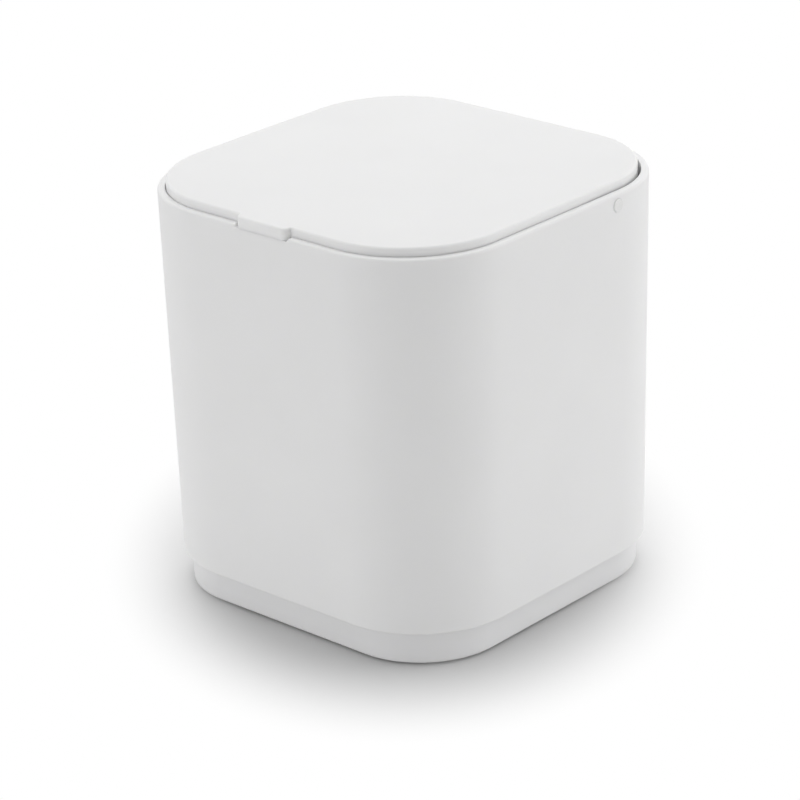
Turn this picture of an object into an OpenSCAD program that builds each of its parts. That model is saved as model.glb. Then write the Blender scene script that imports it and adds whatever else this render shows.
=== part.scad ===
/* [Sleeve] */
// Width across the flats at the rim
sleeve_w = 155; // [140:1:200]
// Outer corner radius at the rim
sleeve_corner_r = 42.5; // [30:0.5:55]
// Height of the rim above the table
rim_z = 161.5; // [145:0.5:220]
// Slope of each outer wall, in degrees
sleeve_draft = 0.9; // [0.5:0.1:1.2]
// Wall thickness at the rim
sleeve_wall = 3; // [2.6:0.1:3.2]
// Wall thickness at the lower edge
sleeve_wall_low = 1.75; // [1.4:0.05:2.6]
// Height of the lower edge above the table
sleeve_low_z = 14.2; // [8:0.1:30]
// Rounding of the rim's outer edge
rim_round_out = 1.2; // [0.6:0.1:1.7]
// Rounding of the rim's inner edge
rim_round_in = 0.4; // [0.3:0.1:1.1]
// Rounding of the lower outer edge
low_round = 0.8; // [0.3:0.1:1.2]
// Thickness of the inner shelf that stands on the bucket
shelf_t = 2; // [1.6:0.1:4]
// How far the shelf reaches in past the bucket's inner wall
shelf_overhang = 1; // [0.8:0.1:3]
// Depth of the locating rib under the shelf
locator_h = 3; // [1.5:0.5:6]
// Gap between the locating rib and the bucket's inner wall
locator_gap = 0.3; // [0.3:0.05:0.5]

/* [Bucket] */
// Height of the bucket's rim above the table
bucket_rim_z = 105; // [70:1:107]
// Gap between the sleeve's lower edge and the bucket
bucket_gap = 2.45; // [2.2:0.05:5]
// How much further out than the sleeve's the bucket's corner centres lie
bucket_corner_shift = 2.5; // [0:0.1:2.7]
// Wall thickness of the bucket
bucket_wall = 2; // [1.4:0.1:3]
// Thickness of the bucket's floor
bucket_floor = 2.6; // [2.2:0.1:5]
// Slope of each bucket wall, in degrees
bucket_draft = 0.3; // [0:0.1:0.4]
// Rounding of the bucket's lower outer edge
plinth_round = 1; // [0.4:0.1:1.8]
// Fillet between the bucket's floor and wall, inside
bucket_fillet = 4; // [2:0.5:10]

/* [Lid] */
// Gap between the lid's edge and the rim's inner face
lid_gap = 0.8; // [0.8:0.1:2]
// How much further in than the sleeve's the lid's corner centres lie
lid_corner_shift = 0.8; // [0:0.1:1.2]
// How far the lid's outline lies forward of the middle, so that its rear edge swings clear
lid_forward = 0.3; // [0.1:0.1:0.3]
// How far the lid stands proud of the rim
lid_proud = 3.4; // [2:0.1:3.8]
// Depth of the lid from its top to the skirt's lower edge
lid_depth = 12; // [11.6:0.1:14]
// Thickness of the lid's top
lid_top_t = 2.2; // [1.6:0.1:2.6]
// Thickness of the lid's skirt
lid_skirt_t = 1.8; // [1.6:0.1:2.4]
// Rounding of the lid's upper edge
lid_round = 1; // [0.5:0.1:2]
// Spacing of the stiffening ribs under the lid's top
lid_rib_pitch = 28; // [20:1:60]
// Thickness of the stiffening ribs
lid_rib_t = 1.2; // [0.8:0.1:2]
// Depth of the stiffening ribs
lid_rib_h = 3; // [1:0.5:4.5]
// Thickness of the panel that closes the lid from below
panel_t = 1.6; // [1.2:0.1:2]
// Depth at which the panel lies inside the skirt's lower edge
panel_recess = 0.6; // [0.2:0.1:1]
// Width of the seat that holds the panel's edge
panel_seat = 0.8; // [0.5:0.1:1]
// Gap around the panel's edge
panel_gap = 0.1; // [0.05:0.05:0.3]

/* [Tab] */
// Width of the tab at the middle of the lid's front
tab_w = 25; // [16:1:40]
// Radius of the tab's outer corners, seen from above
tab_corner_r = 2.5; // [1:0.1:3.5]
// Rounding of the tab's upper outer edge
tab_round = 0.9; // [0.4:0.1:1.2]
// Gap at each side of the tab in its notch
tab_gap = 0.5; // [0.3:0.1:1]
// Depth of the notch in the rim
notch_d = 1.2; // [1.1:0.1:3]
// Rounding of the rim where it turns down into the notch
notch_round = 1; // [0.3:0.1:1.1]

/* [Hinge] */
// Distance of the hinge axis behind the middle of the bin
hinge_y = 31; // [22:1:31]
// Depth of the hinge axis below the rim
hinge_drop = 4.5; // [4.3:0.1:5]
// Radius of the pin's shank
pin_r = 1.6; // [1.2:0.1:2]
// Radius of the pin's head
pin_head_r = 2.6; // [2.3:0.1:3.2]
// Thickness of the pin's head
pin_head_t = 1.2; // [1:0.1:1.6]
// Depth of the head's seat in the sleeve's outer face
pin_seat_d = 0.8; // [0.5:0.1:1]
// Gap around the head in its seat
pin_seat_gap = 0.15; // [0.05:0.05:0.3]
// Radial clearance of the shank in the sleeve
pin_fit = 0.02; // [0.01:0.01:0.05]
// Radial clearance of the shank in the lid
pin_running = 0.06; // [0.03:0.01:0.1]
// Radius of the lid's hinge bosses
boss_r = 4; // [3.6:0.1:4]
// Length of the boss inside the skirt
boss_l = 7; // [4:0.5:12]
// How far the boss's collar stands out of the skirt
collar_out = 0.3; // [0.2:0.1:0.3]
// How far the pin's tip stops short of the boss's end
pin_short = 1; // [0.5:0.1:2]
// Largest opening angle of the lid, in degrees
lid_open = 75; // [45:1:80]
// Radius of the pegs that stop the open lid
stop_r = 2.5; // [1.5:0.1:3.5]
// Distance from the hinge axis to where the skirt meets a peg
stop_reach = 18; // [14:1:22]
// Gap between the skirt and the peg at the largest opening
stop_gap = 0.3; // [0.3:0.05:0.6]
// How far the pegs reach in past the skirt's inner face
stop_past = 0.7; // [0.3:0.1:2]

/* [Feet] */
// Radius of each foot
foot_r = 6; // [4:0.5:9]
// How far the feet stand out under the bucket
foot_out = 1; // [0.6:0.1:2]
// Depth of the foot's pocket in the bucket's floor
foot_pocket = 1.2; // [0.8:0.1:1.4]
// Gap around the foot in its pocket
foot_gap = 0.1; // [0.05:0.05:0.3]
// Distance of each foot outside the bucket's corner centre, in X and Y
foot_shift = 8; // [0:0.5:12]
// Rounding of the foot's lower edge
foot_round = 0.5; // [0.2:0.1:0.8]

/* [Hidden] */
$fn = 96;
arc_n = 6;
over = 1;

// Corner centres of the sleeve and lid, and of the bucket, from the middle in X and Y
corner_c = sleeve_w / 2 - sleeve_corner_r;
bucket_c = corner_c + bucket_corner_shift;

// Half widths of the sleeve's outer wall and of its inner wall above the shelf, at a height
function sleeve_half(z) = sleeve_w / 2 - (rim_z - z) * tan(sleeve_draft);
function sleeve_in(z) = sleeve_half(z) - sleeve_wall / cos(sleeve_draft);
// Below the shelf the inner wall stands upright, so the sleeve draws off the bucket
sleeve_in_low = sleeve_half(sleeve_low_z) - sleeve_wall_low;

// Half width of the bucket's outer wall at a height
bucket_half_base = sleeve_in_low - bucket_gap;
function bucket_half(z) = bucket_half_base + (z - foot_out) * tan(bucket_draft);
bucket_in_top = bucket_half(bucket_rim_z) - bucket_wall;
bucket_floor_z = foot_out + bucket_floor;

// The shelf and its locating rib
shelf_z = bucket_rim_z + shelf_t;
shelf_half = bucket_in_top - shelf_overhang;
locator_half = bucket_in_top - locator_gap;

// The lid
lid_c = corner_c - lid_corner_shift;
lid_half = sleeve_in(rim_z) - lid_gap;
lid_top_z = rim_z + lid_proud;
lid_low_z = lid_top_z - lid_depth;
skirt_in = lid_half - lid_skirt_t;
panel_top_z = lid_low_z + panel_recess + panel_t;
panel_half = skirt_in + panel_seat - panel_gap;

// The hinge
hinge_z = rim_z - hinge_drop;
pin_seat_x = sleeve_half(hinge_z) - pin_seat_d;
boss_end = skirt_in - boss_l;
skirt_below = hinge_z - lid_low_z;
// The peg touches the open skirt's lower face, at stop_reach behind the axis, less the gap
stop_off = stop_r + stop_gap;
stop_y = hinge_y + stop_reach * cos(lid_open) - (skirt_below + stop_off) * sin(lid_open);
stop_z = hinge_z - stop_reach * sin(lid_open) - (skirt_below + stop_off) * cos(lid_open);
// The skirt runs on its corner arc there, so the peg's inner end follows the arc
stop_arc_y = max(hinge_y + stop_reach + lid_forward - lid_c, 0);
stop_end = lid_c + sqrt(pow(skirt_in - lid_c, 2) - pow(stop_arc_y, 2)) - stop_past;

// The notch and the feet
notch_half = tab_w / 2 + tab_gap;
foot_at = bucket_c + foot_shift;

// Points of an arc about (x, y), from one angle to another
function arc(x, y, r, from, to) = [for (k = [0 : arc_n]) let (a = from + (to - from) * k / arc_n)
    [x + r * cos(a), y + r * sin(a)]];

// Carries a section round a rounded square. The section's x is measured outward from the corner centre c.
module around(c) {
    for (k = [0 : 3]) rotate([0, 0, 90 * k]) {
        translate([c, c, 0]) rotate_extrude(angle = 90) children();
        translate([c, c, 0]) rotate([90, 0, 0]) linear_extrude(2 * c) children();
    }
}

// The square block between the corner centres
module middle(c, low, high) {
    translate([-c, -c, low]) cube([2 * c, 2 * c, high - low]);
}

// A rounded-square plate with upright edges
module plate(c, half, low, high) {
    around(c) translate([0, low]) square([half - c, high - low]);
    middle(c, low, high);
}

// The sleeve's wall from its lower edge to its rim, with the shelf and the locating rib
module sleeve_section() {
    d = sleeve_draft;
    out_z = rim_z - rim_round_out;
    in_z = rim_z - rim_round_in;
    low_z = sleeve_low_z + low_round;
    translate([-corner_c, 0]) polygon(concat(
        arc(sleeve_half(low_z) - low_round / cos(d), low_z, low_round, -90, -d),
        arc(sleeve_half(out_z) - rim_round_out / cos(d), out_z, rim_round_out, -d, 90),
        arc(sleeve_in(in_z) + rim_round_in / cos(d), in_z, rim_round_in, 90, 180 - d),
        [[sleeve_in(shelf_z), shelf_z], [shelf_half, shelf_z], [shelf_half, bucket_rim_z - locator_h],
         [locator_half, bucket_rim_z - locator_h], [locator_half, bucket_rim_z],
         [sleeve_in_low, bucket_rim_z], [sleeve_in_low, sleeve_low_z]]));
}

// The opening that the notch takes out of the rim, seen from the front
module notch_outline() {
    floor_z = rim_z - notch_d;
    round_z = rim_z - notch_round;
    polygon(concat(
        [[-notch_half - notch_round, rim_z + over]],
        arc(-notch_half - notch_round, round_z, notch_round, 90, 0),
        [[-notch_half, floor_z], [notch_half, floor_z]],
        arc(notch_half + notch_round, round_z, notch_round, 180, 90),
        [[notch_half + notch_round, rim_z + over]]));
}

// A cylinder along X on the hinge axis, between two distances from the middle
module on_hinge(r, from, to) {
    translate([from, hinge_y, hinge_z]) rotate([0, 90, 0]) cylinder(r = r, h = to - from);
}

module outer_sleeve() color("white") difference() {
    union() {
        around(corner_c) sleeve_section();
        for (side = [0, 1]) mirror([side, 0, 0])
            translate([stop_end, stop_y, stop_z]) rotate([0, 90, 0])
                cylinder(r = stop_r, h = sleeve_in(stop_z) + sleeve_wall / 2 - stop_end);
    }
    translate([0, -sleeve_in(rim_z) + over, 0]) rotate([90, 0, 0])
        linear_extrude(sleeve_wall + 2 * over) notch_outline();
    for (side = [0, 1]) mirror([side, 0, 0]) {
        on_hinge(pin_r + pin_fit, sleeve_in(hinge_z) - over, sleeve_half(hinge_z) + over);
        on_hinge(pin_head_r + pin_seat_gap, pin_seat_x, sleeve_half(hinge_z) + over);
    }
}

// The bucket's wall and the part of its floor outside the corner centres
module bucket_section() {
    d = bucket_draft;
    low_z = foot_out + plinth_round;
    fillet_z = bucket_floor_z + bucket_fillet;
    lip = bucket_wall / 4;
    in_half = bucket_half(fillet_z) - bucket_wall;
    translate([-bucket_c, 0]) polygon(concat(
        [[bucket_c, foot_out]],
        arc(bucket_half(low_z) - plinth_round / cos(d), low_z, plinth_round, -90, -d),
        arc(bucket_half(bucket_rim_z) - lip, bucket_rim_z - lip, lip, -d, 90),
        arc(bucket_in_top + lip, bucket_rim_z - lip, lip, 90, 180),
        arc(in_half - bucket_fillet, fillet_z, bucket_fillet, 0, -90),
        [[bucket_c, bucket_floor_z]]));
}

// Runs its children at the four feet
module at_foot(x_side, y_side) {
    translate([x_side * foot_at, y_side * foot_at, 0]) children();
}

module inner_bucket() color("whitesmoke") difference() {
    union() {
        around(bucket_c) bucket_section();
        middle(bucket_c, foot_out, bucket_floor_z);
    }
    for (x_side = [-1, 1], y_side = [-1, 1]) at_foot(x_side, y_side)
        translate([0, 0, foot_out - over]) cylinder(r = foot_r + foot_gap, h = foot_pocket + over);
}

// The lid's top and skirt outside the corner centres
module lid_section() {
    round_z = lid_top_z - lid_round;
    translate([-lid_c, 0]) polygon(concat(
        [[lid_c, lid_top_z - lid_top_t], [skirt_in, lid_top_z - lid_top_t], [skirt_in, panel_top_z],
         [skirt_in + panel_seat, panel_top_z], [skirt_in + panel_seat, lid_low_z], [lid_half, lid_low_z]],
        arc(lid_half - lid_round, round_z, lid_round, 0, 90),
        [[lid_c, lid_top_z]]));
}

// The tab: its side profile, cut to its outline with the rounded corners
module tab() {
    front = sleeve_w / 2;
    back = lid_half + lid_forward - lid_skirt_t / 2;
    low = rim_z - notch_d;
    r = tab_corner_r;
    intersection() {
        translate([-tab_w / 2, 0, 0]) rotate([90, 0, 90]) linear_extrude(tab_w) polygon(concat(
            [[-back, low], [-back, lid_top_z]],
            arc(-front + tab_round, lid_top_z - tab_round, tab_round, 90, 180),
            [[-front, low]]));
        translate([0, 0, low - over]) linear_extrude(lid_top_z - low + 2 * over) union() {
            translate([-tab_w / 2, -front + r]) square([tab_w, front - r - back + over]);
            translate([-tab_w / 2 + r, -front]) square([tab_w - 2 * r, r + over]);
            for (side = [-1, 1]) translate([side * (tab_w / 2 - r), -front + r]) circle(r);
        }
    }
}

// Stiffening ribs under the lid's top, in both directions, kept inside the skirt
module lid_ribs() {
    reach = skirt_in - sleeve_corner_r / 3;
    count = floor(reach / lid_rib_pitch);
    for (k = [-count : count], turn = [0, 90]) rotate([0, 0, turn])
        translate([k * lid_rib_pitch - lid_rib_t / 2, -lid_c, lid_top_z - lid_top_t - lid_rib_h])
            cube([lid_rib_t, 2 * lid_c, lid_rib_h + lid_top_t / 2]);
}

module lid_cover() color("white") difference() {
    union() {
        translate([0, -lid_forward, 0]) {
            around(lid_c) lid_section();
            middle(lid_c, lid_top_z - lid_top_t, lid_top_z);
            lid_ribs();
        }
        tab();
        for (side = [0, 1]) mirror([side, 0, 0])
            on_hinge(boss_r, boss_end, lid_half + collar_out);
    }
    for (side = [0, 1]) mirror([side, 0, 0])
        on_hinge(pin_r + pin_running, boss_end - over, lid_half + collar_out + over);
}

module lid_underpanel() color("gainsboro") difference() {
    translate([0, -lid_forward, 0]) plate(lid_c, panel_half, panel_top_z - panel_t, panel_top_z);
    for (side = [0, 1]) mirror([side, 0, 0])
        translate([boss_end - 2 * panel_gap, hinge_y - boss_r - 2 * panel_gap, lid_low_z])
            cube([boss_l + 2 * panel_seat + over, 2 * boss_r + 4 * panel_gap, lid_depth]);
}

// A pin along X: a low domed head in the sleeve's face and a plain shank through the wall into the boss
module hinge_pin() {
    head_z = pin_seat_x + pin_head_t;
    dome = pin_head_t - pin_seat_d;
    tip = boss_end + pin_short;
    chamfer = pin_r / 4;
    translate([0, hinge_y, hinge_z]) rotate([0, 90, 0]) rotate_extrude() polygon([
        [0, tip], [pin_r - chamfer, tip], [pin_r, tip + chamfer], [pin_r, pin_seat_x], [pin_head_r, pin_seat_x],
        [pin_head_r, head_z - dome], [pin_head_r - dome / 2, head_z - dome / 4], [pin_head_r - dome, head_z],
        [0, head_z]]);
}

module hinge_pin_left() color("whitesmoke") mirror([1, 0, 0]) hinge_pin();
module hinge_pin_right() color("whitesmoke") hinge_pin();

module foot() {
    rotate_extrude() polygon(concat(
        [[0, 0]],
        arc(foot_r - foot_round, foot_round, foot_round, -90, 0),
        [[foot_r, foot_out + foot_pocket], [0, foot_out + foot_pocket]]));
}

module foot_front_left() color("silver") at_foot(-1, -1) foot();
module foot_front_right() color("silver") at_foot(1, -1) foot();
module foot_rear_left() color("silver") at_foot(-1, 1) foot();
module foot_rear_right() color("silver") at_foot(1, 1) foot();

outer_sleeve();
inner_bucket();
lid_cover();
lid_underpanel();
hinge_pin_left();
hinge_pin_right();
foot_front_left();
foot_front_right();
foot_rear_left();
foot_rear_right();
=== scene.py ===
from math import cos, pi, radians, sin, sqrt, tan

import bmesh
import bpy
from mathutils import Matrix, Vector


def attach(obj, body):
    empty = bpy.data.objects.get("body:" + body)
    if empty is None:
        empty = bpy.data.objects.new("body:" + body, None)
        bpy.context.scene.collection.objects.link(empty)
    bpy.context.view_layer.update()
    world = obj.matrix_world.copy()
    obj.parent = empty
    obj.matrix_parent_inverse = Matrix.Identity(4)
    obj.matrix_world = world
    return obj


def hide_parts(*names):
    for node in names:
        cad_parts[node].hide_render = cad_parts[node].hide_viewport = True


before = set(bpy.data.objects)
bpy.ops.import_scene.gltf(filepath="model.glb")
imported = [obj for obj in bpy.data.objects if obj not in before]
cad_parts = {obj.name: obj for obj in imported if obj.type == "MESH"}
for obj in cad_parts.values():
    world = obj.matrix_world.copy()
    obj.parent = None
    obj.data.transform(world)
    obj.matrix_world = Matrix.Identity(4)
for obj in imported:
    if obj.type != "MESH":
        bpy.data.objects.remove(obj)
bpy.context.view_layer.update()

# ---------------------------------------------------------------- the four feet
# Each foot is a small disc of soft thermoplastic rubber, pressed into a round pocket under the bucket's floor.
# It is moulded with a shallow dimple underneath, so that it grips the worktop with its outer ring.


def linear(code):
    """A colour from its sRGB hex code, as linear red, green, blue and alpha."""
    channels = [int(code[i:i + 2], 16) / 255 for i in (1, 3, 5)]
    return [c / 12.92 if c <= 0.04045 else ((c + 0.055) / 1.055) ** 2.4 for c in channels] + [1.0]


def add(material, kind, inputs=None, **settings):
    """Adds a shader node. Its inputs take plain values, or the outputs of other nodes."""
    node = material.node_tree.nodes.new(kind)
    for setting, value in settings.items():
        setattr(node, setting, value)
    for socket, value in (inputs or {}).items():
        if isinstance(value, bpy.types.NodeSocket):
            material.node_tree.links.new(value, node.inputs[socket])
        else:
            node.inputs[socket].default_value = value
    return node


def new_material(name):
    """An empty node material with its output, and the object's coordinates in millimetres."""
    material = bpy.data.materials.new(name)
    material.use_nodes = True
    material.node_tree.nodes.clear()
    place = add(material, "ShaderNodeTexCoord").outputs["Object"]
    mm = add(material, "ShaderNodeVectorMath", {0: place, 1: (1000, 1000, 1000)}, operation="MULTIPLY")
    return material, mm.outputs[0]


def arc(x, y, r, start, end, steps=6):
    """Points of an arc about (x, y), from one angle to another in degrees."""
    turns = [radians(start + (end - start) * i / steps) for i in range(steps + 1)]
    return [(x + r * cos(a), y + r * sin(a)) for a in turns]


def piece(name, points, faces, material, body, node):
    """Makes a mesh object from points in millimetres and rides it on its body in place of the CAD node."""
    mesh = bpy.data.meshes.new(name)
    mesh.from_pydata([[v / 1000 for v in p] for p in points], [], faces)
    bm = bmesh.new()
    bm.from_mesh(mesh)
    bmesh.ops.remove_doubles(bm, verts=bm.verts, dist=1e-7)
    bmesh.ops.recalc_face_normals(bm, faces=bm.faces)
    bm.to_mesh(mesh)
    bm.free()
    mesh.shade_smooth()
    mesh.materials.append(material)
    thing = bpy.data.objects.new(name, mesh)
    bpy.context.scene.collection.objects.link(thing)
    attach(thing, body)
    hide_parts(node)
    return thing


def turned(profile, steps=72):
    """A turned shape about Z, from a profile of (radius, height) that starts and ends on the axis."""
    points = [(0, 0, profile[0][1])]
    for r, z in profile[1:-1]:
        points += [(r * cos(2 * pi * k / steps), r * sin(2 * pi * k / steps), z) for k in range(steps)]
    points.append((0, 0, profile[-1][1]))
    rings = len(profile) - 2
    faces = []
    for k in range(steps):
        n = (k + 1) % steps
        faces.append((0, 1 + n, 1 + k))
        for i in range(rings - 1):
            a, b = 1 + i * steps, 1 + (i + 1) * steps
            faces.append((a + k, a + n, b + n, b + k))
        last = 1 + (rings - 1) * steps
        faces.append((last + k, last + n, len(points) - 1))
    return points, faces


def crisp(thing):
    """Keeps flat faces flat between rounded edges, and creases where faces meet at more than 50 degrees."""
    thing.data.set_sharp_from_angle(angle=radians(50))
    weights = thing.modifiers.new("flat faces", "WEIGHTED_NORMAL")
    weights.keep_sharp = True
    weights.weight = 80


# Thermoplastic rubber from a blasted mould: dull, and mottled over a millimetre or two
rubber, mm = new_material("moulded_tpe_rubber")
mottle = add(rubber, "ShaderNodeTexNoise", {"Vector": mm, "Scale": 0.6, "Detail": 3}).outputs["Fac"]
shade = add(rubber, "ShaderNodeMix", {0: mottle, 6: linear("#CBCBC9"), 7: linear("#D6D6D4")},
            data_type="RGBA").outputs[2]
# Blasted grit leaves pits about 0.15 mm across, drawn at 0.4 mm so that they show
pits = add(rubber, "ShaderNodeTexNoise", {"Vector": mm, "Scale": 2.5, "Detail": 2}).outputs["Fac"]
dull = add(rubber, "ShaderNodeMapRange", {"Value": pits, "To Min": 0.62, "To Max": 0.78}).outputs[0]
bump = add(rubber, "ShaderNodeBump", {"Height": pits, "Strength": 0.35, "Distance": 0.00004}).outputs[0]
surface = add(rubber, "ShaderNodeBsdfPrincipled", {"Base Color": shade, "Roughness": dull, "IOR": 1.51,
                                                   "Normal": bump}).outputs[0]
add(rubber, "ShaderNodeOutputMaterial", {"Surface": surface})

foot_radius, foot_height, foot_place, foot_round, dimple = 6, 2.2, 45.5, 0.5, 0.3
foot_profile = [(0, dimple), (1.5, dimple), (3.2, 0.28), (3.9, 0.1), (4.2, 0), (4.8, 0)]
foot_profile += arc(foot_radius - foot_round, foot_round, foot_round, -90, 0)
foot_profile += [(foot_radius, foot_height), (4, foot_height), (0, foot_height)]
for node, x_side, y_side in (("foot_front_left", -1, -1), ("foot_front_right", 1, -1),
                             ("foot_rear_left", -1, 1), ("foot_rear_right", 1, 1)):
    points, faces = turned(foot_profile)
    points = [(x + x_side * foot_place, y + y_side * foot_place, z) for x, y, z in points]
    crisp(piece(node + "_rubber", points, faces, rubber, "bucket", node))

# ---------------------------------------------------------------- the inner bucket
# The waste falls into this thin-walled bucket, injection moulded in white polypropylene with a slight draft.
# The sleeve stands on its rim, and its lower end shows under the sleeve as a plinth.


def lap(c, stops=(), side_steps=10, corner_steps=28):
    """Columns round a rounded square whose corner centres lie c from the middle, from the front's left end on.
    Each column is its place on the square of corner centres and its outward direction. The stops, in
    millimetres from the middle, are extra columns on each flat side."""
    even = [-c + 2 * c * i / side_steps for i in range(1, side_steps)]
    spaced = [e for e in even if not stops or abs(e) > max(stops) + 2]
    along = sorted(set(round(place, 6) for place in list(stops) + spaced))
    columns = []
    for turn in range(4):
        a = pi / 2 * turn
        flat = [((x, -c), (0, -1)) for x in along]
        angles = [pi / 2 * k / corner_steps for k in range(corner_steps + 1)]
        bend = [((c, -c), (sin(b), -cos(b))) for b in angles]
        for (x, y), (u, v) in flat + bend:
            columns.append(((x * cos(a) - y * sin(a), x * sin(a) + y * cos(a)),
                            (u * cos(a) - v * sin(a), u * sin(a) + v * cos(a))))
    return columns


def swept(columns, c, section):
    """Carries a section round the columns. section(k) gives column k's points, as half width and height."""
    points, faces = [], []
    rows = [[(bx + u * (half - c), by + v * (half - c), z) for half, z in section(k)]
            for k, ((bx, by), (u, v)) in enumerate(columns)]
    count, deep = len(rows), len(rows[0])
    for row in rows:
        points += row
    for k in range(count):
        n = (k + 1) % count
        for i in range(deep - 1):
            faces.append((k * deep + i, n * deep + i, n * deep + i + 1, k * deep + i + 1))
    return points, faces, count, deep


def close_middle(points, faces, edge, profile):
    """Fills a face inward from an edge loop, by round rings of (radius, height), to its centre."""
    last, count = edge, len(edge)
    for share in (0.7, 0.4):
        ring = list(range(len(points), len(points) + count))
        points += [(points[i][0] * share, points[i][1] * share, points[i][2]) for i in edge]
        faces += [(last[k], last[(k + 1) % count], ring[(k + 1) % count], ring[k]) for k in range(count)]
        last = ring
    for r, z in profile:
        if r == 0:
            points.append((0, 0, z))
            faces += [(last[k], last[(k + 1) % count], len(points) - 1) for k in range(count)]
            return
        ring = list(range(len(points), len(points) + count))
        for i in edge:
            x, y, _ = points[i]
            size = sqrt(x * x + y * y)
            points.append((x / size * r, y / size * r, z))
        faces += [(last[k], last[(k + 1) % count], ring[(k + 1) % count], ring[k]) for k in range(count)]
        last = ring


def turned_cutter(name, profile, x, y, z, axis="Z"):
    """A round tool for cutting or joining, turned about Z, X or -X, at a place in millimetres."""
    points, faces = turned(profile)
    if axis == "X":
        points = [(h, a, b) for a, b, h in points]
    elif axis == "-X":
        points = [(-h, a, b) for a, b, h in points]
    mesh = bpy.data.meshes.new(name)
    placed = [((px + x) / 1000, (py + y) / 1000, (pz + z) / 1000) for px, py, pz in points]
    mesh.from_pydata(placed, [], faces)
    bm = bmesh.new()
    bm.from_mesh(mesh)
    bmesh.ops.recalc_face_normals(bm, faces=bm.faces)
    bm.to_mesh(mesh)
    bm.free()
    tool = bpy.data.objects.new(name, mesh)
    bpy.context.scene.collection.objects.link(tool)
    return tool


def worked(thing, tools, operation):
    """Cuts the tools out of a piece, or joins them to it, and throws the tools away."""
    for tool in tools:
        step = thing.modifiers.new("work", "BOOLEAN")
        step.operation, step.solver, step.object = operation, "EXACT", tool
        bpy.context.view_layer.update()
        done = bpy.data.meshes.new_from_object(thing.evaluated_get(bpy.context.evaluated_depsgraph_get()))
        thing.modifiers.remove(step)
        old, thing.data = thing.data, done
        bpy.data.meshes.remove(old)
        bpy.data.objects.remove(tool)
    # A cut can leave slivers, or a gap one triangle wide, and the mesh has to be closed
    bm = bmesh.new()
    bm.from_mesh(thing.data)
    bmesh.ops.dissolve_degenerate(bm, dist=1e-7, edges=bm.edges)
    bmesh.ops.holes_fill(bm, edges=[edge for edge in bm.edges if edge.is_boundary])
    bm.to_mesh(thing.data)
    bm.free()
    thing.data.shade_smooth()
    return thing


def moulded_polypropylene(name, pale, deep, gloss, grain_mm, grain_depth_mm, marks):
    """White polypropylene from a spark-eroded mould: satin, faintly uneven in shade, with a fine rounded grain.
    marks takes the material, its coordinates, the shade and the roughness, and adds the wear of this piece."""
    material, mm = new_material(name)
    # Cooling draws pigment and gloss unevenly over some 40 mm
    drift = add(material, "ShaderNodeTexNoise", {"Vector": mm, "Scale": 0.025, "Detail": 2}).outputs["Fac"]
    shade = add(material, "ShaderNodeMix", {0: drift, 6: linear(deep), 7: linear(pale)},
                data_type="RGBA").outputs[2]
    # The grain is 0.1 to 0.2 mm in life, drawn coarser so that it shows
    grain = add(material, "ShaderNodeTexNoise", {"Vector": mm, "Scale": 1 / grain_mm, "Detail": 2,
                                                 "Roughness": 0.55}).outputs["Fac"]
    patch = add(material, "ShaderNodeTexNoise", {"Vector": mm, "Scale": 0.08, "Detail": 3}).outputs["Fac"]
    rough = add(material, "ShaderNodeMapRange", {"Value": patch, "From Min": 0.3, "From Max": 0.7,
                                                 "To Min": gloss - 0.03, "To Max": gloss + 0.04}).outputs[0]
    shade, rough = marks(material, mm, shade, rough)
    bump = add(material, "ShaderNodeBump", {"Height": grain, "Strength": 0.5,
                                            "Distance": grain_depth_mm / 1000}).outputs[0]
    surface = add(material, "ShaderNodeBsdfPrincipled", {
        "Base Color": shade, "Roughness": rough, "IOR": 1.49, "Specular IOR Level": 0.28, "Normal": bump,
        "Subsurface Weight": 0.5, "Subsurface Scale": 0.001, "Subsurface Radius": (1.4, 1.4, 1.3)}).outputs[0]
    add(material, "ShaderNodeOutputMaterial", {"Surface": surface})
    return material


def drawn_marks(material, mm, shade, rough):
    """Upright rubs 1.5 mm apart, where the sleeve is drawn up over the bucket, and a scuffed lower edge."""
    stretched = add(material, "ShaderNodeVectorMath", {0: mm, 1: (0.7, 0.7, 0.02)},
                    operation="MULTIPLY").outputs[0]
    rubs = add(material, "ShaderNodeTexNoise", {"Vector": stretched, "Scale": 1, "Detail": 2}).outputs["Fac"]
    rubs = add(material, "ShaderNodeMapRange", {"Value": rubs, "From Min": 0.6, "From Max": 0.75,
                                                "To Min": 0, "To Max": 0.06}).outputs[0]
    rough = add(material, "ShaderNodeMath", {0: rough, 1: rubs}, operation="ADD").outputs[0]
    height = add(material, "ShaderNodeSeparateXYZ", {0: mm}).outputs[2]
    low = add(material, "ShaderNodeMapRange", {"Value": height, "From Min": 1.0, "From Max": 2.6,
                                               "To Min": 0.22, "To Max": 0}).outputs[0]
    scuffed = add(material, "ShaderNodeMix", {0: low, 6: shade, 7: linear("#C9C8C4")},
                  data_type="RGBA").outputs[2]
    return scuffed, rough


bucket_plastic = moulded_polypropylene("moulded_polypropylene_bucket", "#EAEAEA", "#E4E4E5",
                                       gloss=0.52, grain_mm=0.5, grain_depth_mm=0.006, marks=drawn_marks)

# Heights and half widths in millimetres. The floor stands 1 mm clear of the table, on the feet
bucket_c, bucket_rim, bucket_wall, floor_low, floor_top = 37.5, 105, 2, 1, 3.6
bucket_low_half = 70.986
bucket_lean = tan(radians(0.3))


def bucket_half(z):
    """Half the bucket's width at a height: its mould gives it 0.3 degrees of draft."""
    return bucket_low_half + (z - floor_low) * bucket_lean


inside, lip = bucket_half(bucket_rim) - bucket_wall, 0.5
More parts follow.
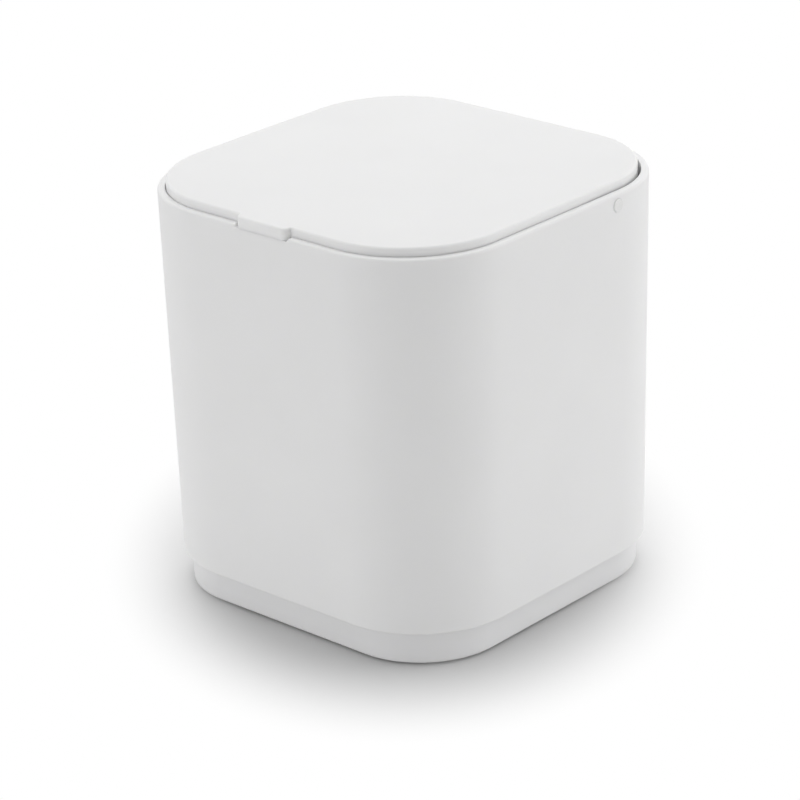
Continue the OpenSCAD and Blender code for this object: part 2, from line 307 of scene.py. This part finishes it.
# From the floor's underside up the outside, over the rim and down the inside to the floor
bucket_outline = [(bucket_low_half - 5, floor_low)]
bucket_outline += arc(bucket_half(2) - 1, 2, 1, -90, 0, 8)
bucket_outline += [(bucket_half(z), z) for z in (4, 8, 14, 30, 55, 80, 100)]
bucket_outline += arc(bucket_half(bucket_rim) - lip, bucket_rim - lip, lip, 0, 90)
bucket_outline += arc(inside + lip, bucket_rim - lip, lip, 90, 180)
bucket_outline += [(bucket_half(z) - bucket_wall, z) for z in (100, 80, 55, 30, 12)]
bucket_outline += arc(bucket_half(7.6) - bucket_wall - 4, 7.6, 4, 0, -90, 10)
bucket_outline += [(bucket_low_half - 12, floor_top)]
bucket_columns = lap(bucket_c)
points, faces, count, deep = swept(bucket_columns, bucket_c, lambda k: bucket_outline)
# The floor's underside has the gate's round recess with its broken-off stub, and inside is a shallow ring
gate_recess = [(9, floor_low), (6.2, floor_low), (5.8, 1.1), (5.5, 1.45), (5.1, 1.5), (1.4, 1.5), (1.1, 1.4),
               (0.9, 1.15), (0, 1.1)]
floor_ring = [(14, floor_top), (12.6, floor_top), (12.3, floor_top - 0.1), (12, floor_top), (0, floor_top)]
close_middle(points, faces, [k * deep for k in range(count)], gate_recess)
close_middle(points, faces, [k * deep + deep - 1 for k in range(count)], floor_ring)
bucket = piece("bucket_polypropylene", points, faces, bucket_plastic, "bucket", "inner_bucket")
pocket = [(0, -2), (6.3, -2), (6.3, floor_low - 0.001), (6.1, floor_low + 0.2), (6.1, foot_height),
          (0, foot_height)]
pockets = [turned_cutter("pocket", pocket, x * foot_place, y * foot_place, 0)
           for x in (-1, 1) for y in (-1, 1)]
crisp(worked(bucket, pockets, "DIFFERENCE"))

# ---------------------------------------------------------------- the outer sleeve
# The white sleeve is the bin's face: a tapered tube of polypropylene with a rounded rim, open at both ends.
# Inside, a shelf stands on the bucket's rim and two pegs stop the open lid. The rim is notched for the tab.


def handled_marks(material, mm, shade, rough):
    """Hands and cloths polish the rim, and the lower edge picks up a little grey from worktops."""
    height = add(material, "ShaderNodeSeparateXYZ", {0: mm}).outputs[2]
    polished = add(material, "ShaderNodeMapRange", {"Value": height, "From Min": 159.1, "From Max": 161.1,
                                                    "To Min": 0, "To Max": -0.12}).outputs[0]
    rough = add(material, "ShaderNodeMath", {0: rough, 1: polished}, operation="ADD").outputs[0]
    low = add(material, "ShaderNodeMapRange", {"Value": height, "From Min": 14.2, "From Max": 15.4,
                                               "To Min": 0.16, "To Max": 0}).outputs[0]
    greyed = add(material, "ShaderNodeMix", {0: low, 6: shade, 7: linear("#CFCECB")},
                 data_type="RGBA").outputs[2]
    return greyed, rough


sleeve_plastic = moulded_polypropylene("moulded_polypropylene_sleeve", "#ECECEC", "#E8E8E8",
                                       gloss=0.52, grain_mm=0.45, grain_depth_mm=0.005, marks=handled_marks)

sleeve_c, rim, half_width, wall, low_wall, low_edge = 35, 161.5, 77.5, 3, 1.75, 14.2
slope = tan(radians(0.9))


def sleeve_half(z):
    """Half the sleeve's width at a height: its walls lean in by 0.9 degrees towards the lower edge."""
    return half_width - (rim - z) * slope


notch_floor, notch_side = 160.3, 13.0
low_inside = sleeve_half(low_edge) - low_wall
# The shelf rests on the bucket's rim, and the rib below it fits 0.3 mm inside the bucket
shelf_inside, locator = 68.531, 69.231
# Extra columns on each side, where the notch's ends round over into the rim
bends = [notch_side + 1 - sin(radians(a)) for a in (0, 22.5, 45, 67.5, 80, 90)]
notch_stops = [12.2, 12.8, 12.86, 12.94] + bends[::-1] + [14.6]
stops = sorted([-s for s in notch_stops] + [-9, -4.5, 0, 4.5, 9] + notch_stops)
sleeve_columns = lap(sleeve_c, stops)


def notch_height(x):
    """The rim's height at a distance from the front's middle: rounded over, then down to a small fillet."""
    x = abs(x)
    if x >= notch_side + 1:
        return rim
    if x >= notch_side:
        return rim - 1 + sqrt(max(0, 1 - (notch_side + 1 - x) ** 2))
    if x > notch_side - 0.2:
        return notch_floor + 0.2 - sqrt(max(0, 0.04 - (x - notch_side + 0.2) ** 2))
    return notch_floor


def sleeve_section(k):
    """From inside the wall down round the lower edge, up the outside, over the rim and down past the shelf.
    The rim's rounding sharpens in the notch, where it lies under the tab."""
    (x, y), (_, v) = sleeve_columns[k]
    top = notch_height(x) if v == -1 and y < 0 else rim
    drop = (rim - top) / (rim - notch_floor)
    outer, inner = 1.2 - 1.14 * drop, 0.25 - 0.1 * drop
    section = [(low_inside, 60), (low_inside, 16)]
    section += arc(low_inside + 0.3, low_edge + 0.3, 0.3, 180, 270, 3)
    section += arc(sleeve_half(15) - 0.8, 15, 0.8, -90, -1, 8)
    section += [(sleeve_half(z), z) for z in (18, 30, 50, 75, 100, 125, 142, 150, 157)]
    section += arc(sleeve_half(top - outer) - outer, top - outer, outer, -1, 90, 8)
    section += arc(sleeve_half(top - inner) - wall + inner, top - inner, inner, 90, 180, 6)
    section += [(sleeve_half(z) - wall, z) for z in (157, 150, 142, 130, 110)]
    section += arc(sleeve_half(108) - wall - 1, 108, 1, 0, -90, 5)
    section += arc(shelf_inside + 0.4, 106.6, 0.4, 90, 180, 4)
    section += [(shelf_inside, 103)] + arc(shelf_inside + 0.25, 102.25, 0.25, 180, 270, 3)
    section += [(locator - 0.1, 102), (locator, 102.2), (locator, bucket_rim), (low_inside - 0.4, bucket_rim)]
    return section + [(low_inside, 104.6), (low_inside, 60)]


points, faces, count, deep = swept(sleeve_columns, sleeve_c, sleeve_section)
sleeve = piece("sleeve_polypropylene", points, faces, sleeve_plastic, "sleeve", "outer_sleeve")

# The pin's head sits on a seat in the wall. The profiles run outwards from the bin's middle
hinge_y, hinge_z = 31, 157
peg_y, peg_z, peg_in = 28.994, 137.828, 68.043
seat = sleeve_half(hinge_z) - 0.8
peg_profile = [(0, peg_in)] + arc(2.1, peg_in + 0.4, 0.4, -90, 0, 4)
peg_profile += [(2.5, 73.6), (3.2, 74.3), (3.4, 75.4), (0, 75.4)]
pin_hole = [(0, 72), (1.62, 72), (1.62, seat), (2.64, seat), (2.64, 77.35), (2.66, 77.42), (2.66, 79), (0, 79)]
for side in ("X", "-X"):
    worked(sleeve, [turned_cutter("peg", peg_profile, 0, peg_y, peg_z, side)], "UNION")
    worked(sleeve, [turned_cutter("bore", pin_hole, 0, hinge_y, hinge_z, side)], "DIFFERENCE")
crisp(sleeve)

# ---------------------------------------------------------------- the two hinge pins
# Each pin is turned down from acetal rod: a low domed head that sits in the sleeve's wall, and a plain shank on
# which the lid's boss swings. They are pushed in from outside and are a shade glossier than the wall.

acetal, mm = new_material("turned_acetal_pin")
# Turning leaves rings about 0.1 mm apart round the axis, drawn at 0.25 mm so that they show
centred = add(acetal, "ShaderNodeVectorMath", {0: mm, 1: (0, -hinge_y, -hinge_z)}, operation="ADD").outputs[0]
flatten = add(acetal, "ShaderNodeVectorMath", {0: centred, 1: (0, 1, 1)}, operation="MULTIPLY").outputs[0]
rings = add(acetal, "ShaderNodeTexWave", {"Vector": flatten, "Scale": 1.3, "Distortion": 0.4},
            wave_type="RINGS", rings_direction="SPHERICAL").outputs["Fac"]
sheen = add(acetal, "ShaderNodeMapRange", {"Value": rings, "To Min": 0.24, "To Max": 0.32}).outputs[0]
bump = add(acetal, "ShaderNodeBump", {"Height": rings, "Strength": 0.25, "Distance": 0.00001}).outputs[0]
tint = add(acetal, "ShaderNodeMix", {0: rings, 6: linear("#E4E4E3"), 7: linear("#E9E9E8")},
           data_type="RGBA").outputs[2]
surface = add(acetal, "ShaderNodeBsdfPrincipled", {"Base Color": tint, "Roughness": sheen, "IOR": 1.48,
                                                   "Normal": bump}).outputs[0]
add(acetal, "ShaderNodeOutputMaterial", {"Surface": surface})

shank, head, pin_tip, head_out = 1.6, 2.6, 65.9, seat + 1.2
pin_profile = [(0, pin_tip), (1.2, pin_tip), (shank, pin_tip + 0.4), (shank, seat - 0.05), (shank, seat),
               (2.5, seat), (head, seat + 0.1), (head, head_out - 0.5)]
pin_profile += arc(2.2, head_out - 0.45, 0.4, 10, 70, 5)
pin_profile += [(1.9, head_out - 0.03), (1.2, head_out - 0.01), (0, head_out)]
for node, sign in (("hinge_pin_left", -1), ("hinge_pin_right", 1)):
    points, faces = turned(pin_profile, 64)
    points = [(sign * h, a + hinge_y, b + hinge_z) for a, b, h in points]
    crisp(piece(node + "_acetal", points, faces, acetal, "sleeve", node))

# ---------------------------------------------------------------- the lid cover
# The lid is a hollow polypropylene moulding: a flat top, a skirt inside the rim and a finger tab that reaches
# over the notch, flush with the sleeve. Ribs stiffen the top, and a boss at each side turns on its pin.


def lid_marks(material, mm, shade, rough):
    """Fingertips polish the tab and the top just behind it."""
    reach = add(material, "ShaderNodeVectorMath", {0: mm, 1: (0, -74, 165)}, operation="DISTANCE").outputs[1]
    touched = add(material, "ShaderNodeMapRange", {"Value": reach, "From Min": 8, "From Max": 30,
                                                   "To Min": -0.06, "To Max": 0},
                  interpolation_type="SMOOTHSTEP").outputs[0]
    rough = add(material, "ShaderNodeMath", {0: rough, 1: touched}, operation="ADD").outputs[0]
    return shade, rough


lid_plastic = moulded_polypropylene("moulded_polypropylene_lid", "#EEEEEE", "#EAEAEA",
                                    gloss=0.52, grain_mm=0.45, grain_depth_mm=0.005, marks=lid_marks)

lid_c, lid_half, lid_low, lid_top = 34.2, 73.6996, 152.9, 164.9
# The outline lies a little forward of the middle, so that the rear edge swings clear
lid_forward = 0.3
skirt_inside, top_under = lid_half - 1.8, lid_top - 2.2
# The skirt's draft widens it towards the top, all round but at the rear, which dips past the sleeve's wall
flare, flare_low, flare_high = 0.6, 153.2, 159.5
tab_half, tab_front, tab_low = 12.5, 77.5 - lid_forward, notch_floor


def tab_outline():
    """Left half of the tab's outline from above, as place and outward direction, from fillet to front."""
    fillet, corner = 0.35, 2.5
    out = []
    for a in (0, 30, 60, 90):
        s, t = sin(radians(a)), cos(radians(a))
        out.append(((-tab_half - fillet + fillet * s, -lid_half - flare - fillet + fillet * t), (-s, -t)))
    out.append(((-tab_half, -74.6), (-1, 0)))
    for a in range(0, 91, 10):
        s, t = sin(radians(a)), cos(radians(a))
        out.append(((-tab_half + corner - corner * t, -tab_front + corner - corner * s), (-t, -s)))
    return out + [((x, -tab_front), (0, -1)) for x in (-7.5, -5, -2.5)]


left = tab_outline()
around_tab = left + [((0, -tab_front), (0, -1))] + [((-x, y), (-u, v)) for (x, y), (u, v) in left[::-1]]
# The tab's points are spread over as many columns of the front, by their distance along the outline
lengths = [0]
for (a, _), (b, _) in zip(around_tab, around_tab[1:]):
    lengths.append(lengths[-1] + sqrt((a[0] - b[0]) ** 2 + (a[1] - b[1]) ** 2))
edge_x = -around_tab[0][0][0]
tab_stops = [-edge_x + 2 * edge_x * s / lengths[-1] for s in lengths]
lid_stops = sorted([-24, -21, -18, -15, 15, 18, 21, 24] + tab_stops)
lid_columns = lap(lid_c, lid_stops)


def lid_column(k):
    """A column's points: from the top's underside down inside the skirt, round its seat and lower edge, and up
    the outside, past the tab, to the top."""
    (bx, by), (u, v) = lid_columns[k]
    in_tab = v == -1 and by < 0 and abs(bx) <= edge_x + 1e-6
    # Full draft up to 10 mm behind the middle, and none from 30 mm on
    wide = flare * min(1, max(0, (30 - by - v * (lid_half - lid_c)) / 20))
    top_half = lid_half + wide
    (px, py), (nx, ny) = (bx + u * (top_half - lid_c), by + v * (top_half - lid_c)), (u, v)
    round_off, lift = 1.0, 0.0
    if in_tab:
        (px, py), (nx, ny) = around_tab[min(range(len(tab_stops)), key=lambda i: abs(tab_stops[i] - bx))]
        reach = min(1, max(0, (-py - lid_half - flare) / 1.1))
        round_off, lift = 1.0 - 0.1 * reach, 0.05 * min(1, max(0, (-py - lid_half - flare - 0.3) / 0.5))
    # Small beads along the flats hold the underpanel in its seat, which is cut 0.8 mm into the skirt
    along = bx if abs(by) >= abs(bx) else by
    on_flat = min(abs(u), abs(v)) == 0
    bead = 0.3 * sin(pi * (abs(along) - 15) / 9) if 15 < abs(along) < 24 and on_flat else 0
    seat_inside = skirt_inside + 0.8
    skirt = [(skirt_inside - 1 + cos(radians(a)), top_under - 1 + sin(radians(a))) for a in (90, 60, 30)]
    skirt += [(skirt_inside, top_under - 1), (skirt_inside, 159), (skirt_inside, 155.2),
              (skirt_inside + 0.1, 155.1), (seat_inside, 155.1), (seat_inside, 153.7), (seat_inside, 153.5),
              (seat_inside - bead, 153.3), (seat_inside, 153.1), (skirt_inside + 0.9, 152.95),
              (skirt_inside + 1, lid_low), (lid_half - 0.3, lid_low), (lid_half - 0.09, lid_low + 0.09),
              (lid_half, lid_low + 0.3)]
    skirt += [(lid_half + wide * min(1, (z - flare_low) / (flare_high - flare_low)), z)
              for z in (156.5, flare_high, 160.05, tab_low)]
    row = [(bx + u * (half - lid_c), by + v * (half - lid_c), z) for half, z in skirt]
    # Under the tab the last points step out over the notch, lifted a little off its floor
    step = 0.0 if in_tab and ny != v or lift else 0.05
    row.append((px - nx * lift, py - ny * lift, tab_low + step))
    row.append((px - nx * lift * 0.3, py - ny * lift * 0.3, tab_low + 0.07 + step / 2))
    row.append((px, py, tab_low + 0.2))
    row.append((px, py, tab_low + 1.5))
    for a in range(0, 91, 10):
        in_by, up = round_off * (1 - cos(radians(a))), round_off * sin(radians(a))
        row.append((px - nx * in_by, py - ny * in_by, lid_top - round_off + up))
    row.append((px - nx * 2.4, py - ny * 2.4, lid_top))
    return [(x, y - lid_forward, z) for x, y, z in row]


rows = [lid_column(k) for k in range(len(lid_columns))]
count, deep = len(rows), len(rows[0])
points = [p for row in rows for p in row]
faces = [(k * deep + i, (k + 1) % count * deep + i, (k + 1) % count * deep + i + 1, k * deep + i + 1)
         for k in range(count) for i in range(deep - 1)]
close_middle(points, faces, [k * deep for k in range(count)], [(0, top_under)])
close_middle(points, faces, [k * deep + deep - 1 for k in range(count)], [(0, lid_top)])
lid = piece("lid_polypropylene", points, faces, lid_plastic, "lid", "lid_cover")


def block(name, low, high):
    """A bar between two corners, in millimetres, slightly drafted towards its lower face as a mould needs."""
    draft = 0.12
    x0, y0, z0, x1, y1, z1 = low + high
    points = [(x0 + draft, y0 + draft, z0), (x1 - draft, y0 + draft, z0), (x1 - draft, y1 - draft, z0),
              (x0 + draft, y1 - draft, z0), (x0, y0, z1), (x1, y0, z1), (x1, y1, z1), (x0, y1, z1)]
    mesh = bpy.data.meshes.new(name)
    mesh.from_pydata([(x / 1000, y / 1000, z / 1000) for x, y, z in points], [],
                     [(3, 2, 1, 0), (4, 5, 6, 7), (0, 1, 5, 4), (1, 2, 6, 5), (2, 3, 7, 6), (3, 0, 4, 7)])
    bar = bpy.data.objects.new(name, mesh)
    bpy.context.scene.collection.objects.link(bar)
    return bar


rib_low, rib_half, into_top = top_under - 3, 0.6, top_under + 1
for at in (-56, -28, 0, 28, 56):
    across = at - lid_forward
    lengthwise = block("rib", (at - rib_half, -lid_c - lid_forward, rib_low),
                       (at + rib_half, lid_c - lid_forward, into_top))
    crosswise = block("rib", (-lid_c, across - rib_half, rib_low), (lid_c, across + rib_half, into_top))
    worked(lid, [lengthwise, crosswise], "UNION")
boss = [(0, 64.9), (3.7, 64.9), (4, 65.2), (4, 73.7), (3.7, 74), (0, 74)]
pin_bore = [(0, 63), (1.66, 63), (1.66, 76), (0, 76)]
for side in ("X", "-X"):
    worked(lid, [turned_cutter("boss", boss, 0, hinge_y, hinge_z, side)], "UNION")
    worked(lid, [turned_cutter("bore", pin_bore, 0, hinge_y, hinge_z, side)], "DIFFERENCE")
crisp(lid)

# ---------------------------------------------------------------- the lid's underpanel
# A flat polypropylene panel snaps into the skirt and closes the hollow lid, so that waste can't lodge between
# the ribs. It is moulded with a coarser grain, because that side is seen only when the lid is open.


def no_marks(material, mm, shade, rough):
    """Left as it came from the mould."""
    return shade, rough


panel_plastic = moulded_polypropylene("moulded_polypropylene_panel", "#E6E6E6", "#E1E1E2",
                                      gloss=0.5, grain_mm=0.8, grain_depth_mm=0.02, marks=no_marks)

# A shallow groove runs round the lower face, and the gate leaves a dimple in the middle
panel_half, panel_low, panel_top = lid_half - 1.1, 153.5, 155.1
panel_section = [(panel_half - 4.4, panel_low), (panel_half - 3.8, panel_low),
                 (panel_half - 3.6, panel_low + 0.3), (panel_half - 3.0, panel_low + 0.3),
                 (panel_half - 2.8, panel_low), (panel_half - 0.3, panel_low),
                 (panel_half - 0.09, panel_low + 0.09), (panel_half, panel_low + 0.3),
                 (panel_half, panel_top - 0.2), (panel_half - 0.2, panel_top), (panel_half - 4, panel_top)]
panel_columns = lap(lid_c)
points, faces, count, deep = swept(panel_columns, lid_c, lambda k: panel_section)
points = [(x, y - lid_forward, z) for x, y, z in points]
gate_dimple = [(6, panel_low), (4.1, panel_low), (3.9, panel_low + 0.25), (1, panel_low + 0.25),
               (0.8, panel_low + 0.05), (0, panel_low + 0.02)]
close_middle(points, faces, [k * deep for k in range(count)], gate_dimple)
close_middle(points, faces, [k * deep + deep - 1 for k in range(count)], [(6, panel_top), (0, panel_top)])
panel = piece("underpanel_polypropylene", points, faces, panel_plastic, "lid", "lid_underpanel")
# The panel is slotted round the lid's two bosses, 0.2 mm clear of them
slots = [block("slot", (x0, hinge_y - 4.3, 152), (x1, hinge_y + 4.3, 158))
         for x0, x1 in ((-74.3, -64.6), (64.6, 74.3))]
crisp(worked(panel, slots, "DIFFERENCE"))

# ---------------------------------------------------------------- the floor and the light
# A seamless white sheet of paper carries the bin. Away from the bin it glows pure white to the camera and in
# reflections, which cuts off the outer part of the bin's soft shadow; nearer in, the camera sees a greyer
# paper, painted shade that deepens that shadow. The room and the lamps are white too, so that only the light's
# direction shades the bin.

paper = bpy.data.materials.new("white_paper_floor")
paper.use_nodes = True
paper.node_tree.nodes.clear()
place = add(paper, "ShaderNodeTexCoord").outputs["Object"]
# The paper turns to a glowing pure white over 50 mm outside an oval drawn round the bin: painted light that
# cuts the bin's soft shadow off there
oval = add(paper, "ShaderNodeMapping", {"Vector": place, "Location": (-0.0154, 0.0122, 0),
                                        "Rotation": (0, 0, radians(42.3)), "Scale": (1, 1.39, 1)},
           vector_type="TEXTURE").outputs[0]
apart = add(paper, "ShaderNodeVectorMath", {0: oval}, operation="LENGTH").outputs[1]
fade = add(paper, "ShaderNodeMapRange", {"Value": apart, "From Min": 0.0706, "From Max": 0.1209},
           interpolation_type="SMOOTHSTEP").outputs[0]
# Painted shade: to the camera and in reflections the paper is a little greyer than the paper that throws light
# back onto the walls, which darkens the bin's shadow on it
path = add(paper, "ShaderNodeLightPath")
seen = add(paper, "ShaderNodeMath", {0: path.outputs["Is Camera Ray"], 1: path.outputs["Is Glossy Ray"]},
           operation="MAXIMUM").outputs[0]
seen = add(paper, "ShaderNodeMath", {0: seen, 1: path.outputs["Is Transmission Ray"]},
           operation="MAXIMUM").outputs[0]
shade = add(paper, "ShaderNodeMix", {0: seen, 6: linear("#F6F6F6"), 7: linear("#E2E2E2")},
            data_type="RGBA").outputs[2]
matt = add(paper, "ShaderNodeBsdfDiffuse", {"Color": shade}).outputs[0]
white = add(paper, "ShaderNodeEmission", {"Color": (1, 1, 1, 1), "Strength": 1}).outputs[0]
share = add(paper, "ShaderNodeMath", {0: seen, 1: fade}, operation="MULTIPLY").outputs[0]
surface = add(paper, "ShaderNodeMixShader", {0: share, 1: matt, 2: white}).outputs[0]
add(paper, "ShaderNodeOutputMaterial", {"Surface": surface})

floor_radius = 3
sheet = bpy.data.meshes.new("floor")
ring = [(floor_radius * cos(pi * k / 32), floor_radius * sin(pi * k / 32), 0) for k in range(64)]
sheet.from_pydata(ring, [], [tuple(range(64))])
sheet.materials.append(paper)
floor = bpy.data.objects.new("floor", sheet)
bpy.context.scene.collection.objects.link(floor)

world = bpy.data.worlds.new("studio")
bpy.context.scene.world = world
world.use_nodes = True
world.node_tree.nodes.clear()
path = add(world, "ShaderNodeLightPath")
seen = add(world, "ShaderNodeMath", {0: path.outputs["Is Camera Ray"], 1: path.outputs["Is Glossy Ray"]},
           operation="MAXIMUM").outputs[0]
seen = add(world, "ShaderNodeMath", {0: seen, 1: path.outputs["Is Transmission Ray"]},
           operation="MAXIMUM").outputs[0]
strength = add(world, "ShaderNodeMapRange", {"Value": seen, "To Min": 0.5, "To Max": 1}).outputs[0]
sky = add(world, "ShaderNodeBackground", {"Color": (1, 1, 1, 1), "Strength": strength}).outputs[0]
add(world, "ShaderNodeOutputWorld", {"Surface": sky})

# Softboxes above and behind light the lid, and low strip lamps even out the walls. Each has its place, its
# width and height in metres, and its power in watts
lamp_aim = Vector((0, 0, 0.08))
for name, place, wide, high, power in (
        ("rear_overhead_softbox", (-0.187, 0.206, 1.576), 0.9, 0.9, 5.3),
        ("back_softbox", (-0.537, 0.593, 1.386), 0.9, 0.6, 4.6),
        ("right_softbox", (0.838, 0.76, 1.131), 0.9, 0.6, 1.9),
        ("left_softbox", (-1.272, -0.801, 0.547), 1.4, 0.6, 1.0),
        ("left_strip_lamp", (-0.5, -1.4, 0.14), 0.9, 0.24, 3.5),
        ("right_strip_lamp", (1.2, 0.8, 0.14), 0.9, 0.24, 4.3)):
    lamp = bpy.data.lights.new(name, "AREA")
    lamp.shape, lamp.size, lamp.size_y, lamp.energy = "RECTANGLE", wide, high, power
    box = bpy.data.objects.new(name, lamp)
    bpy.context.scene.collection.objects.link(box)
    box.location = place
    box.rotation_euler = (lamp_aim - Vector(place)).to_track_quat("-Z", "Y").to_euler()
    box.visible_camera = False

# ---------------------------------------------------------------- the camera
# A long lens looks down on the bin's near corner from the height of a table-top product shot.

turn, rise, roll, distance = radians(42.335), radians(22.683), radians(-1.862), 1.30009
back = Vector((sin(turn) * cos(rise), -cos(turn) * cos(rise), sin(rise)))
right = Vector((cos(turn), sin(turn), 0))
up = back.cross(right)
# The picture's middle lies a little left of the bin's middle and below it
aim = Vector((0, 0, 0.080615)) - 0.004018 * right - 0.009426 * up
level, tilt = right * cos(roll) + up * sin(roll), up * cos(roll) - right * sin(roll)
lens = bpy.data.cameras.new("product_camera")
lens.lens, lens.sensor_width, lens.clip_start = 152.82, 36, 0.05
camera = bpy.data.objects.new("product_camera", lens)
bpy.context.scene.collection.objects.link(camera)
rows = [[level[i], tilt[i], back[i], aim[i] + distance * back[i]] for i in range(3)]
camera.matrix_world = Matrix(rows + [[0, 0, 0, 1]])
bpy.context.scene.camera = camera
bpy.context.scene.view_settings.view_transform = "Standard"
